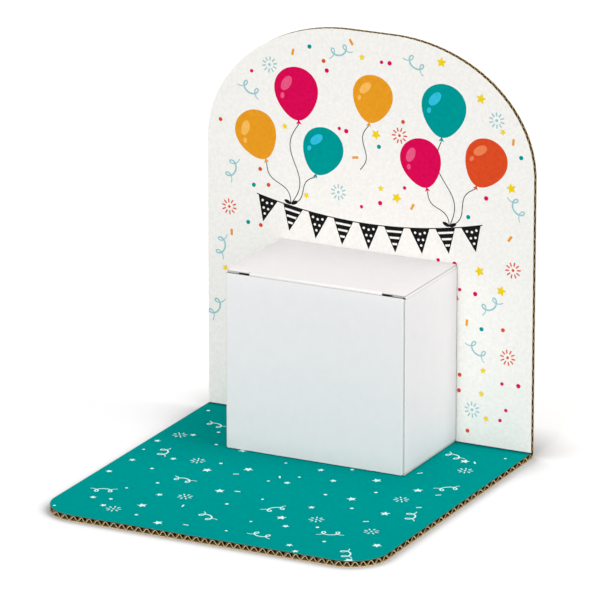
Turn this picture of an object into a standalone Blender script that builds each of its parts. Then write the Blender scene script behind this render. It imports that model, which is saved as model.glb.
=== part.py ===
"""Gift stand: a creased corrugated-board stand that carries a small tuck-end carton.

Lengths are metres. X runs to the right, Y to the back and Z up. The origin is the middle of
the stand's footprint, on the surface that it stands on.
"""

import math
from collections import namedtuple

import bmesh
import bpy
import numpy as np
from mathutils import Matrix, Vector

# The stand's blank: overall sizes with its panel folded upright
STAND_WIDTH = 0.150
STAND_DEPTH = 0.155
STAND_HEIGHT = 0.174
BASE_CORNER_RADIUS = 0.016
ARCH_FLAT_WIDTH = 0.020
ARCH_RISE = 0.054

# The single-wall board that the blank is cut from
LINER_THICKNESS = 0.00035
MEDIUM_THICKNESS = 0.00022
FLUTE_HEIGHT = 0.0020
FLUTE_PITCH = 0.0032
FLUTE_ANGLE = math.radians(59.4)
GLUE_LINE = 0.00005
FOLD_GAP = 0.0003

# The carton: outer sizes, its card and its glued seam
CARTON_WIDTH = 0.082
CARTON_DEPTH = 0.050
CARTON_HEIGHT = 0.077
CARD_THICKNESS = 0.0004
PANEL_CLEARANCE = 0.0003
GLUE_FLAP_WIDTH = 0.012
GLUE_FLAP_TAPER = 0.003
SEAM_SETBACK = 0.0001

# The carton's two closures
CARD_GAP = 0.00015
PRESSED_GAP = 0.00005
SWING_CLEARANCE = 0.00025
PRESSED_FOLD_RADIUS = 0.0001
CREASE_GAP = 0.0001
LID_SIDE_SETBACK = 0.0003
BOTTOM_SIDE_SETBACK = 0.0001
LID_CORNER_RADIUS = 0.001
LID_SLOT = 0.0007
TUCK_TAB_WIDTH = 0.0606
TUCK_SLIT = 0.0002
TUCK_EAR_WIDTH = 0.0037
TUCK_EAR_DROP = 0.0006
TUCK_LENGTH = 0.014
TUCK_CORNER_RADIUS = 0.008
DUST_FLAP_LENGTH = 0.026
DUST_SHOULDER_LENGTH = 0.006
DUST_END_SETBACK = 0.0002
DUST_FLAP_TAPER = 0.006
DUST_CLEARANCE = 0.0005

# The double-sided tape under the carton
TAPE_THICKNESS = 0.00025
TAPE_WIDTH = 0.012
TAPE_INSET = 0.006
TAPE_GAP = 0.00005

OVERRUN = 0.001
FLUTE_STEPS = 8
BASE_CORNER_STEPS = 10
ARCH_STEPS = 24
BOARD_FOLD_STEPS = 4
CARD_FOLD_STEPS = 6
SMALL_CORNER_STEPS = 5

RIGHT_ANGLE = math.pi / 2

board_thickness = 2 * (LINER_THICKNESS + GLUE_LINE) + FLUTE_HEIGHT
fold_y = STAND_DEPTH / 2 - board_thickness
fold_z = board_thickness
base_length = STAND_DEPTH - board_thickness
panel_length = STAND_HEIGHT - board_thickness

carton_back = fold_y - PANEL_CLEARANCE
carton_front = carton_back - CARTON_DEPTH
carton_side = CARTON_WIDTH / 2
carton_floor = board_thickness + TAPE_THICKNESS + 2 * TAPE_GAP
carton_top = carton_floor + CARTON_HEIGHT
front_inner = carton_front + CARD_THICKNESS

# A crease of the card is as tight as a flap may be and still swing past the layer beside it
fold_inner_radius = (CARD_THICKNESS + CARD_GAP + SWING_CLEARANCE) / 2
fold_radius = fold_inner_radius + CARD_THICKNESS

Closure = namedtuple("Closure", "level inward gap inner_radius side_setback")
TOP = Closure(carton_top, -1, CARD_GAP, fold_inner_radius, LID_SIDE_SETBACK)
BOTTOM = Closure(carton_floor, 1, PRESSED_GAP, PRESSED_FOLD_RADIUS, BOTTOM_SIDE_SETBACK)


def material(name, colour, roughness):
    """A plain Principled material in linear RGB."""
    made = bpy.data.materials.new(name)
    made.use_nodes = True
    shader = made.node_tree.nodes["Principled BSDF"]
    shader.inputs["Base Color"].default_value = (*colour, 1.0)
    shader.inputs["Roughness"].default_value = roughness
    shader.inputs["Metallic"].default_value = 0.0
    made.diffuse_color = (*colour, 1.0)
    return made


def link(name, bm, finish):
    """Turns the mesh's faces outward and links it to the scene as one object."""
    bm.normal_update()
    bmesh.ops.recalc_face_normals(bm, faces=bm.faces)
    mesh = bpy.data.meshes.new(name)
    bm.to_mesh(mesh)
    bm.free()
    obj = bpy.data.objects.new(name, mesh)
    if finish:
        mesh.materials.append(finish)
    bpy.context.scene.collection.objects.link(obj)
    return obj


def arc(centre, radii, start, end, steps):
    """Points round part of an ellipse, both ends included."""
    angles = np.linspace(start, end, steps + 1)
    return [(centre[0] + radii[0] * math.cos(a), centre[1] + radii[1] * math.sin(a)) for a in angles]


def wrap(point, inner_radius, turn, thickness):
    """Where a point of a flat sheet goes once the sheet is bent round a crease.

    point is (along the crease, distance past the crease, height over the inner face). Past zero
    the sheet stays flat. Below zero it follows an arc about the crease's centre, and beyond the
    arc it runs straight on. The result is measured from the arc's centre.
    """
    along, past, height = point
    radius = inner_radius + height
    if past >= 0 or not turn:
        return along, past, radius
    arc_length = (inner_radius + thickness / 2) * turn
    angle = min(-past / arc_length, 1.0) * turn
    straight = max(-past - arc_length, 0.0)
    flat = -radius * math.sin(angle) - straight * math.cos(angle)
    return along, flat, radius * math.cos(angle) - straight * math.sin(angle)


def sheet(name, finish, outline, thickness, place, inner_radius=0.0, turn=0.0, steps=1):
    """A sheet cut to an outline, bent where the outline passes below zero, then put in place.

    place turns (along the crease, distance from it, height over the arc's centre) into X, Y, Z.
    """
    bm = bmesh.new()
    bm.faces.new([bm.verts.new((along, past, 0.0)) for along, past in outline])
    arc_length = (inner_radius + thickness / 2) * turn
    for step in range(steps + 1 if turn else 0):
        geometry = bm.verts[:] + bm.edges[:] + bm.faces[:]
        row = Vector((0.0, -arc_length * step / steps, 0.0))
        bmesh.ops.bisect_plane(bm, geom=geometry, plane_co=row, plane_no=(0.0, 1.0, 0.0))
    grown = bmesh.ops.extrude_face_region(bm, geom=bm.faces[:])
    raised = [item for item in grown["geom"] if isinstance(item, bmesh.types.BMVert)]
    bmesh.ops.translate(bm, verts=raised, vec=(0.0, 0.0, thickness))
    for vert in bm.verts:
        vert.co = place(*wrap(vert.co, inner_radius, turn, thickness))
    return link(name, bm, finish)


def seat(obj, pivot, parent=None):
    """Moves the object's origin to its joint's axis and hangs it on its parent."""
    obj.data.transform(Matrix.Translation(-Vector(pivot)))
    obj.location = pivot
    if parent:
        obj.parent = parent
        obj.location = Vector(pivot) - parent.location


def as_cutter(obj):
    """Hides a helper body, which only shapes other objects."""
    obj.hide_render = True
    obj.display_type = "WIRE"
    return obj


def on_base(along, distance, depth):
    """Puts a point of the flat blank on the base: distance forward of the fold, depth below the print."""
    return along, fold_y - distance, fold_z - depth


def on_panel(along, distance, depth):
    """Puts a point of the flat blank on the panel: distance above the fold, depth behind the print."""
    return along, fold_y + depth, fold_z + distance


def base_outline(start):
    """The base from one distance past the fold to its front edge, with two rounded corners."""
    half = STAND_WIDTH / 2
    radius = BASE_CORNER_RADIUS
    right = arc((half - radius, base_length - radius), (radius, radius), 0.0, RIGHT_ANGLE, BASE_CORNER_STEPS)
    left = [(-along, distance) for along, distance in reversed(right)]
    return [(-half, start), (half, start)] + right + left


def panel_outline(start):
    """The panel from one distance past the fold to its top: a flat crown between elliptical corners."""
    half = STAND_WIDTH / 2
    crown = ARCH_FLAT_WIDTH / 2
    radii = (half - crown, ARCH_RISE)
    right = arc((crown, panel_length - ARCH_RISE), radii, 0.0, RIGHT_ANGLE, ARCH_STEPS)
    left = [(-along, distance) for along, distance in reversed(right)]
    return [(-half, start), (half, start)] + right + left


def face_liner(name, finish, outline_from, place):
    """The printed paper. It stops at the fold, where the two halves meet in a sharp inner corner."""
    return sheet(name, finish, outline_from(FOLD_GAP / 2), LINER_THICKNESS, place)


def back_liner(name, finish, outline_from, place):
    """The paper outside the fold. Each half wraps its share of the rounded outer corner."""
    inner_radius = board_thickness - LINER_THICKNESS
    neutral_radius = board_thickness - LINER_THICKNESS / 2
    turn = RIGHT_ANGLE / 2 - FOLD_GAP / 2 / board_thickness
    outline = outline_from(-neutral_radius * turn)
    return sheet(name, finish, outline, LINER_THICKNESS, place, inner_radius, turn, BOARD_FOLD_STEPS)


def wave_section(length):
    """The medium's centre line and mitred normals over a length that is centred on zero.

    The line is a sine read half a step off its crests, so that each crest is a narrow flat that
    lies along its liner. Dividing by the reading next to the crest keeps the flute's full height.
    """
    count = math.ceil(length / FLUTE_PITCH) * FLUTE_STEPS
    half_step = math.pi / FLUTE_STEPS
    wave = np.sin((2 * np.arange(count) + 1) * half_step) / math.cos(half_step)
    heights = wave * (FLUTE_HEIGHT - MEDIUM_THICKNESS) / 2
    places = (np.arange(count) - count / 2) * FLUTE_PITCH / FLUTE_STEPS
    centre = np.column_stack([places, heights])
    run = np.diff(centre, axis=0)
    square = np.column_stack([-run[:, 1], run[:, 0]]) / np.linalg.norm(run, axis=1)[:, None]
    before = np.vstack([square[:1], square])
    after = np.vstack([square, square[-1:]])
    mitre = (before + after) / (1 + (before * after).sum(axis=1))[:, None]
    return centre, mitre


def fluting(name, finish, outline_from, place, lean):
    """The fluted medium, cut to the blank's outline and to the mitre inside the fold.

    lean is -1 on the base and 1 on the panel, so that the flutes run on through the fold.
    """
    reach = math.hypot(STAND_WIDTH, max(base_length, panel_length)) + board_thickness
    centre, mitre = wave_section(2 * reach)
    upper = centre + mitre * MEDIUM_THICKNESS / 2
    lower = centre - mitre * MEDIUM_THICKNESS / 2
    bm = bmesh.new()
    rows = []
    for points, run in ((upper, -reach), (upper, reach), (lower, reach), (lower, -reach)):
        along = points[:, 0] * math.sin(FLUTE_ANGLE) + run * math.cos(FLUTE_ANGLE)
        distance = lean * (points[:, 0] * math.cos(FLUTE_ANGLE) - run * math.sin(FLUTE_ANGLE))
        depth = board_thickness / 2 - points[:, 1]
        placed = [place(*point) for point in zip(along, distance, depth)]
        rows.append([bm.verts.new(point) for point in placed])
    for row, beside in zip(rows, rows[1:] + rows[:1]):
        for step in range(len(centre) - 1):
            bm.faces.new((row[step], row[step + 1], beside[step + 1], beside[step]))
    for step in (0, -1):
        bm.faces.new([row[step] for row in rows])
    medium = link(name, bm, finish)

    plan = sheet(
        name + "_plan_cutter",
        None,
        outline_from(-board_thickness),
        board_thickness + 2 * OVERRUN,
        lambda along, distance, depth: place(along, distance, depth - OVERRUN),
    )
    for cutter in (plan, fold_cutter(name + "_fold_cutter", place)):
        cut = medium.modifiers.new(cutter.name, "BOOLEAN")
        cut.operation = "INTERSECT"
        cut.solver = "EXACT"
        cut.object = as_cutter(cutter)
    return medium


def fold_cutter(name, place):
    """The room that one half of the medium has at the fold: inside the back liner, up to the mitre."""
    bend_radius = board_thickness - LINER_THICKNESS - GLUE_LINE / 2
    mitre_offset = FOLD_GAP / 2 * math.sqrt(2)
    first = RIGHT_ANGLE / 2 - math.asin(FOLD_GAP / 2 / bend_radius)
    bend = arc((0.0, 0.0), (bend_radius, bend_radius), RIGHT_ANGLE + first, RIGHT_ANGLE, BOARD_FOLD_STEPS)
    far = STAND_DEPTH + STAND_HEIGHT
    half = STAND_WIDTH / 2 + OVERRUN
    section = [(mitre_offset + OVERRUN, -OVERRUN)] + bend + [(far, bend_radius), (far, -OVERRUN)]
    bm = bmesh.new()
    face = bm.faces.new([bm.verts.new((-half, distance, depth)) for distance, depth in section])
    grown = bmesh.ops.extrude_face_region(bm, geom=[face])
    moved = [item for item in grown["geom"] if isinstance(item, bmesh.types.BMVert)]
    bmesh.ops.translate(bm, verts=moved, vec=(2 * half, 0.0, 0.0))
    for vert in bm.verts:
        vert.co = place(*vert.co)
    return link(name, bm, None)


def closure_depths(closure):
    """How far the front, side and back walls stop short of a closure's outer face."""
    radius = closure.inner_radius + CARD_THICKNESS
    back = CARD_THICKNESS + closure.gap
    side = back + radius + closure.gap
    front = CARD_THICKNESS + LID_SLOT if closure is TOP else 0.0
    return front, side, back


def sleeve(name, finish):
    """The four walls, one strip of card from the seam's raw edge round to the glue flap inside it."""
    top_front, top_side, top_back = closure_depths(TOP)
    low_front, low_side, low_back = closure_depths(BOTTOM)
    side_ends = (carton_floor + low_side, carton_top - top_side)
    back_ends = (carton_floor + low_back, carton_top - top_back)
    front_ends = (carton_floor + low_front, carton_top - top_front)
    flap_ends = (side_ends[0] + GLUE_FLAP_TAPER, side_ends[1] - GLUE_FLAP_TAPER)

    right_fold = carton_side - fold_radius
    rear_fold = carton_back - fold_radius
    front_fold = carton_front + fold_radius
    seam_fold = right_fold - CARD_THICKNESS - CARD_GAP
    folds = (
        ((right_fold, rear_fold), side_ends, back_ends),
        ((-right_fold, rear_fold), back_ends, side_ends),
        ((-right_fold, front_fold), side_ends, front_ends),
        ((seam_fold, front_fold), front_ends, side_ends),
    )
    neutral = fold_radius - CARD_THICKNESS / 2
    stations = [(right_fold + neutral, carton_front + SEAM_SETBACK, 0.0, *side_ends)]
    for quarter, (centre, before, after) in enumerate(folds):
        for step in range(CARD_FOLD_STEPS + 1):
            share = step / CARD_FOLD_STEPS
            angle = (quarter + share) * RIGHT_ANGLE
            low = before[0] + (after[0] - before[0]) * share
            high = before[1] + (after[1] - before[1]) * share
            x = centre[0] + neutral * math.cos(angle)
            y = centre[1] + neutral * math.sin(angle)
            stations.append((x, y, angle, low, high))
    flap_end = carton_front + GLUE_FLAP_WIDTH
    stations.append((seam_fold + neutral, flap_end, 0.0, *flap_ends))

    bm = bmesh.new()
    rings = []
    for x, y, angle, low, high in stations:
        side = Vector((math.cos(angle), math.sin(angle), 0.0)) * CARD_THICKNESS / 2
        foot = Vector((x, y, low))
        head = Vector((x, y, high))
        rings.append([bm.verts.new(point) for point in (foot - side, foot + side, head + side, head - side)])
    for ring, after in zip(rings, rings[1:]):
        for corner in range(4):
            bm.faces.new((ring[corner], ring[corner - 1], after[corner - 1], after[corner]))
    bm.faces.new(rings[0])
    bm.faces.new(rings[-1])
    return link(name, bm, finish)


def tuck_hinge(closure):
    """Y and Z of the centre of the crease between a closure's panel and its tuck flap."""
    radius = closure.inner_radius + CARD_THICKNESS
    return front_inner + closure.gap + radius, closure.level + closure.inward * radius


def tuck_lean(closure):
    """How far a tuck flap leans in, so that it clears the front wall as its panel swings up."""
    swing = CARTON_DEPTH - CARD_THICKNESS - closure.gap
    depth = TUCK_LENGTH + closure.inner_radius + CARD_THICKNESS
    sag = swing - math.sqrt(swing**2 - depth**2) + SWING_CLEARANCE
    return math.asin(sag / TUCK_LENGTH)


def over_opening(closure):
    """The placing of a closure's panel and tuck flap, whose crease runs along X."""
    hinge_y, hinge_z = tuck_hinge(closure)
    return lambda along, past, height: (along, hinge_y + past, hinge_z - closure.inward * height)


def closure_panel(name, finish, closure):
    """The lid or the bottom: creased to the back wall, with an ear at each end of the tuck flap's crease."""
    radius = closure.inner_radius + CARD_THICKNESS
    half = carton_side - closure.side_setback
    slit = TUCK_TAB_WIDTH / 2 + TUCK_SLIT
    rear = carton_back - tuck_hinge(closure)[0]
    corner_centre = (half - LID_CORNER_RADIUS, LID_CORNER_RADIUS - radius)
    radii = (LID_CORNER_RADIUS, LID_CORNER_RADIUS)
    right = [(slit, CREASE_GAP), (slit, -radius)]
    right += arc(corner_centre, radii, -RIGHT_ANGLE, 0.0, SMALL_CORNER_STEPS)
    right += [(half, rear)]
    left = [(-along, past) for along, past in reversed(right)]
    return sheet(name, finish, right + left, CARD_THICKNESS, over_opening(closure), closure.inner_radius)


def tuck_flap(name, finish, closure):
    """The flap that rolls over the panel's front crease and slips in behind the front wall."""
    turn = RIGHT_ANGLE + tuck_lean(closure)
    arc_length = (closure.inner_radius + CARD_THICKNESS / 2) * turn
    tab = TUCK_TAB_WIDTH / 2
    half = tab + TUCK_EAR_WIDTH
    shoulder = -arc_length - TUCK_EAR_DROP
    tip = -arc_length - TUCK_LENGTH
    corner_centre = (half - TUCK_CORNER_RADIUS, tip + TUCK_CORNER_RADIUS)
    radii = (TUCK_CORNER_RADIUS, TUCK_CORNER_RADIUS)
    right = arc(corner_centre, radii, -RIGHT_ANGLE, 0.0, 2 * SMALL_CORNER_STEPS)
    right += [(half, shoulder), (tab, shoulder), (tab, 0.0)]
    left = [(-along, past) for along, past in reversed(right)]
    place = over_opening(closure)
    return sheet(
        name, finish, right + left, CARD_THICKNESS, place, closure.inner_radius, turn, CARD_FOLD_STEPS
    )


def dust_hinge(closure, side):
    """X and Z of the centre of a dust flap's crease, over the left (-1) or right (1) wall."""
    radius = closure.inner_radius + CARD_THICKNESS
    depth = CARD_THICKNESS + closure.gap + radius
    return side * (carton_side - radius), closure.level + closure.inward * depth


def dust_flap(name, finish, closure, side):
    """A dust flap under the lid: a full-depth shoulder at the wall, set back clear of the tuck flap.

    Its crease stops behind the rounded wall corner. Past that corner, which the glue flap makes
    wider on the right, the shoulder comes forward to the inside of the front wall.
    """
    radius = closure.inner_radius + CARD_THICKNESS
    hinge_x, hinge_z = dust_hinge(closure, side)
    crease_front = carton_front + fold_radius + DUST_END_SETBACK
    front = front_inner + closure.gap
    corner = fold_radius - radius
    if side > 0:
        corner += CARD_THICKNESS + CARD_GAP
    rear = carton_back - fold_radius - DUST_END_SETBACK
    tuck_reach = closure.gap + (TUCK_LENGTH + CARD_THICKNESS) * math.sin(tuck_lean(closure)) + CARD_THICKNESS
    inner_front = front_inner + tuck_reach + DUST_CLEARANCE
    shoulder = DUST_SHOULDER_LENGTH - radius
    tip = DUST_FLAP_LENGTH - radius
    start = -(closure.inner_radius + CARD_THICKNESS / 2) * RIGHT_ANGLE
    outline = [
        (crease_front, start),
        (rear, start),
        (rear, tip - DUST_FLAP_TAPER),
        (rear - DUST_FLAP_TAPER, tip),
        (inner_front + DUST_FLAP_TAPER, tip),
        (inner_front, tip - DUST_FLAP_TAPER),
        (inner_front, shoulder),
        (front, shoulder),
        (front, corner),
        (crease_front, corner),
    ]
    return sheet(
        name,
        finish,
        outline,
        CARD_THICKNESS,
        lambda along, past, height: (hinge_x - side * past, along, hinge_z - closure.inward * height),
        closure.inner_radius,
        RIGHT_ANGLE,
        CARD_FOLD_STEPS,
    )


def tape_strip(name, finish, middle_y):
    """A strip of double-sided tape between the base and the carton's bottom."""
    half = carton_side - TAPE_INSET
    near = middle_y - TAPE_WIDTH / 2
    far = middle_y + TAPE_WIDTH / 2
    outline = [(-half, near), (half, near), (half, far), (-half, far)]
    lift = board_thickness + TAPE_GAP
    return sheet(name, finish, outline, TAPE_THICKNESS, lambda x, y, z: (x, y, lift + z))


def build_stand():
    """The stand's base and upright panel, three plies each, with the panel's origin on the fold."""
    teal_print = material("teal_printed_liner", (0.0, 0.30, 0.29), 0.75)
    white_print = material("white_printed_liner", (0.88, 0.89, 0.86), 0.8)
    kraft_medium = material("kraft_medium", (0.30, 0.20, 0.10), 0.9)
    kraft_liner = material("kraft_liner", (0.50, 0.36, 0.22), 0.85)
    face_liner("base_face_liner", teal_print, base_outline, on_base)
    fluting("base_fluting", kraft_medium, base_outline, on_base, -1)
    back_liner("base_back_liner", kraft_liner, base_outline, on_base)

    # The fold turns about the point of the back liner's outer face that lies on the mitre
    fold_axis_inset = board_thickness * (1 - math.sqrt(0.5))
    pivot = (0.0, STAND_DEPTH / 2 - fold_axis_inset, fold_axis_inset)
    seat(face_liner("panel_face_liner", white_print, panel_outline, on_panel), pivot)
    seat(fluting("panel_fluting", kraft_medium, panel_outline, on_panel, 1), pivot)
    seat(back_liner("panel_back_liner", kraft_liner, panel_outline, on_panel), pivot)


def build_carton():
    """The carton: sleeve, swinging top closure, taped bottom closure and the tape."""
    white_card = material("white_carton_board", (0.86, 0.86, 0.87), 0.6)
    tape = material("double_sided_tape", (0.80, 0.79, 0.74), 0.5)
    sleeve("carton_sleeve", white_card)

    lid = closure_panel("lid", white_card, TOP)
    seat(lid, (0.0, carton_back, carton_top))
    flap = tuck_flap("lid_tuck_flap", white_card, TOP)
    seat(flap, (0.0, *tuck_hinge(TOP)), lid)
    closure_panel("bottom_panel", white_card, BOTTOM)
    tuck_flap("bottom_tuck_flap", white_card, BOTTOM)
    for side, word in ((-1, "left"), (1, "right")):
        dust = dust_flap("dust_flap_" + word, white_card, TOP, side)
        hinge_x, hinge_z = dust_hinge(TOP, side)
        seat(dust, (hinge_x, (carton_front + carton_back) / 2, hinge_z))
        dust_flap("bottom_dust_flap_" + word, white_card, BOTTOM, side)

    edge = TAPE_INSET + TAPE_WIDTH / 2
    tape_strip("tape_strip_front", tape, carton_front + edge)
    tape_strip("tape_strip_rear", tape, carton_back - edge)


for existing in list(bpy.data.objects):
    bpy.data.objects.remove(existing, do_unlink=True)
build_stand()
build_carton()
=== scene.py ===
"""Gift stand of creased corrugated board, with a white tuck-end carton for a money gift taped on it.

Lengths are metres in the part's own frame: X to the right, Y to the back, Z up.
"""

import math

import bpy
import numpy as np
from mathutils import Matrix, Vector
from mathutils.geometry import delaunay_2d_cdt


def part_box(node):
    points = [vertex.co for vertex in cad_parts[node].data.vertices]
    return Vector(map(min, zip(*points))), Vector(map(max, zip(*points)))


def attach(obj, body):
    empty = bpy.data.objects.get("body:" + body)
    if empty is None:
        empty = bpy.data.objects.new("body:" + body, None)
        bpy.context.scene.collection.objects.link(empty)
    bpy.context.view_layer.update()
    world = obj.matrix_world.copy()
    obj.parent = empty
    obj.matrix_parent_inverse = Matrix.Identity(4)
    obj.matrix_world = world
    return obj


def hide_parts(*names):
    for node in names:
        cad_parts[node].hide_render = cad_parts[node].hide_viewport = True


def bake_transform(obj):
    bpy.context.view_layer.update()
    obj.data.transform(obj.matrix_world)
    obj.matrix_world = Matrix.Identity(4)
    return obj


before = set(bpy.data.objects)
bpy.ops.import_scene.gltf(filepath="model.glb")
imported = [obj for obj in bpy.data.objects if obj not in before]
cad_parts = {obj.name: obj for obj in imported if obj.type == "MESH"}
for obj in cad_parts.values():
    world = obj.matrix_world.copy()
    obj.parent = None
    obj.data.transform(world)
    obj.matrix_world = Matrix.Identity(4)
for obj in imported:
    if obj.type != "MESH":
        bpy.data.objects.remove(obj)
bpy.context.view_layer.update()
MM = 0.001
scene = bpy.context.scene

# The base's printed paper
# The inner liner of the corrugated board is white-topped kraft paper, printed teal in offset with
# white motifs left bare, and glued to the flutes. A painted shade darkens it in a band in front of
# the fold, where it is crushed into a narrow pleat.

BASE_LOW, BASE_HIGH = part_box("base_face_liner")
PANEL_LOW, PANEL_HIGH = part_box("panel_face_liner")
HALF_WIDTH = BASE_HIGH.x
LINER = BASE_HIGH.z - BASE_LOW.z
BOARD = BASE_HIGH.z
FOLD_Y = PANEL_LOW.y
FOLD_GAP = 2 * (FOLD_Y - BASE_HIGH.y)
BASE_LENGTH = FOLD_Y - BASE_LOW.y
BASE_CORNER_RADIUS = 0.016
# Crest to crest square to the flutes, and their slant to the fold
FLUTE_PITCH = 0.0032
FLUTE_ANGLE = math.radians(59.4)
LINER_EDGE_RADIUS = 0.00005
EDGE_STEPS = 3
# Points of a sheet closer than this, in mm, count as one
SAME_POINT = 1e-4
# Fibres lie along X: their noise is this much finer across them
FIBRE_STRETCH = 2.2
# Noise up to the first value shows the dark tone, from the second on the light one
TONE_RANGE = (0.36, 0.62)
# The print's tone at the fold under its painted shade, as a share of its own
FOLD_SHADE_TONE = 0.3


def linear(hex_colour):
    """An sRGB hex colour as linear RGBA, by the standard curve."""
    share = np.array([int(hex_colour[i:i + 2], 16) for i in (1, 3, 5)]) / 255
    return (*np.where(share <= 0.04045, share / 12.92, ((share + 0.055) / 1.055) ** 2.4), 1.0)


def feed(tree, node, sockets):
    """Gives each named input of a node its value or its link."""
    for name, value in sockets.items():
        if isinstance(value, bpy.types.NodeSocket):
            tree.links.new(value, node.inputs[name])
        else:
            node.inputs[name].default_value = value


def add(tree, kind, sockets=None, **settings):
    """Adds a node. settings are its own properties; sockets feeds its inputs."""
    node = tree.nodes.new(kind)
    for name, value in settings.items():
        setattr(node, name, value)
    feed(tree, node, sockets or {})
    return node


def paper(name, dark, light, cloud, fibre, roughness, relief, flutes=0.0, specular=0.02, fold_shade_width=0.0):
    """Paper or card. Its sheet formation is clouds of the given size in mm, between two close tones.

    Fibres are a finer stretched noise, which also gives the relief in mm. flutes adds the faint
    washboard that the flutes press through a liner: a sine of the distance across them. The last
    argument is the width in mm of a painted shade in front of the fold, which darkens the paper
    towards the fold.
    """
    made = bpy.data.materials.new(name)
    made.use_nodes = True
    tree = made.node_tree
    shader = tree.nodes["Principled BSDF"]
    place = add(tree, "ShaderNodeTexCoord").outputs["Object"]
    clouds = add(tree, "ShaderNodeTexNoise",
                 {"Vector": place, "Scale": 1 / (cloud * MM), "Detail": 3.0, "Roughness": 0.6})
    stretched = add(tree, "ShaderNodeMapping",
                    {"Vector": place, "Scale": (1.0, FIBRE_STRETCH, FIBRE_STRETCH)})
    strands = add(tree, "ShaderNodeTexNoise",
                  {"Vector": stretched.outputs[0], "Scale": 1 / (fibre * MM), "Detail": 4.0,
                   "Distortion": 0.6})
    both = add(tree, "ShaderNodeMix", {"Factor": 0.45, "A": clouds.outputs[0], "B": strands.outputs[0]})
    tone = add(tree, "ShaderNodeValToRGB", {"Fac": both.outputs[0]})
    for stop, position, hex_colour in zip(tone.color_ramp.elements, TONE_RANGE, (dark, light)):
        stop.position = position
        stop.color = linear(hex_colour)
    colour = tone.outputs[0]
    # Painted shade: the colour darkens towards the fold, standing in for the shadow in the crease
    if fold_shade_width:
        apart = add(tree, "ShaderNodeSeparateXYZ", {0: place})
        fold_shade = add(tree, "ShaderNodeMapRange",
                      {"Value": apart.outputs["Y"], "From Min": FOLD_Y - fold_shade_width * MM, "From Max": FOLD_Y,
                       "To Min": 1.0, "To Max": FOLD_SHADE_TONE})
        colour = add(tree, "ShaderNodeVectorMath", {0: colour, 1: fold_shade.outputs[0]},
                     operation="MULTIPLY").outputs[0]
    height = strands.outputs[0]
    if flutes:
        past_fold = add(tree, "ShaderNodeVectorMath", {0: place, 1: (0.0, FOLD_Y, BOARD)},
                        operation="SUBTRACT")
        across = Vector((math.sin(FLUTE_ANGLE), math.cos(FLUTE_ANGLE), -math.cos(FLUTE_ANGLE)))
        phase = add(tree, "ShaderNodeVectorMath",
                    {0: past_fold.outputs[0], 1: across * 2 * math.pi / FLUTE_PITCH},
                    operation="DOT_PRODUCT")
        wave = add(tree, "ShaderNodeMath", {0: phase.outputs["Value"]}, operation="SINE")
        height = add(tree, "ShaderNodeMath", {0: wave.outputs[0], 1: flutes, 2: height},
                     operation="MULTIPLY_ADD").outputs[0]
    bump = add(tree, "ShaderNodeBump", {"Height": height, "Distance": relief * MM, "Strength": 1.0})
    feed(tree, shader, {"Base Color": colour, "Roughness": roughness, "Specular IOR Level": specular,
                        "Normal": bump.outputs[0]})
    return made


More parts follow.
